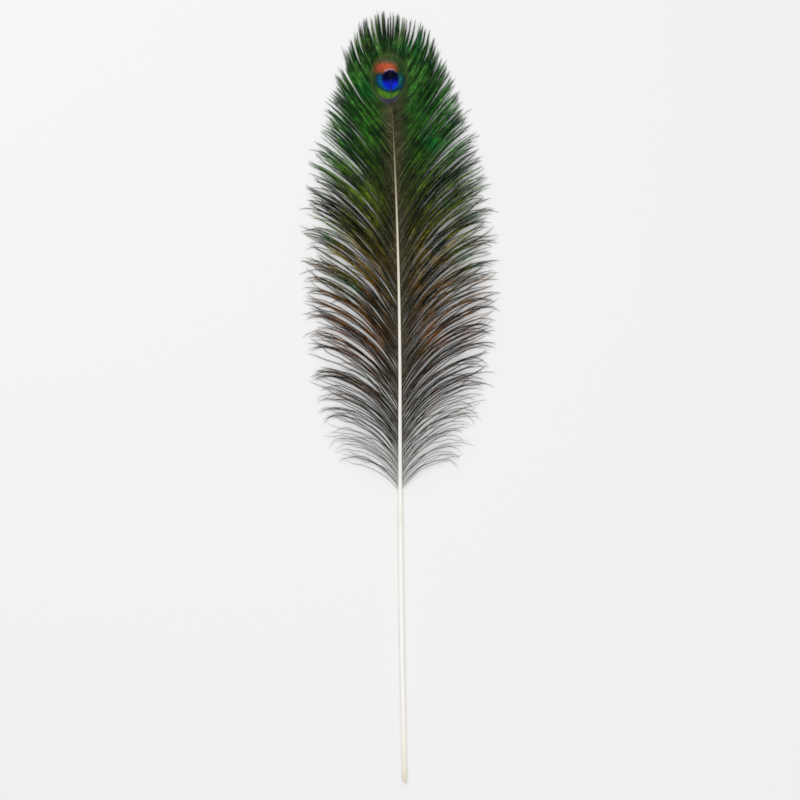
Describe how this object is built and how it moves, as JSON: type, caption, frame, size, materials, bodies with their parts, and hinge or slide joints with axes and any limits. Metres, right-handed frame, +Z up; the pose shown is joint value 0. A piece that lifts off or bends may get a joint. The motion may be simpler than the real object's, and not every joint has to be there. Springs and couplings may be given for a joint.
{
  "type": "peacock feather",
  "caption": "Long tail feather with a bare tapering shaft, loose curving barbs on both sides and a knit eye near its tip, lying face up.",
  "frame": {"origin": "on the shaft's flat underside, in its middle, at half the feather's length", "axes": "+Y along the shaft towards the eye and tip, +X to the feather's right seen from above, +Z up from the surface that it lies on"},
  "size_m": [0.2087, 0.7999, 0.0077],
  "materials": {
    "barbs": "dark bronze-green barbs with a satin, slightly iridescent sheen",
    "shaft": "ivory keratin, smooth, beige towards the eye",
    "eye": "iridescent rings of navy, blue, turquoise, coral and green"
  },
  "bodies": {
    "root": {"peacock_feather": "barbs"}
  },
  "joints": []
}
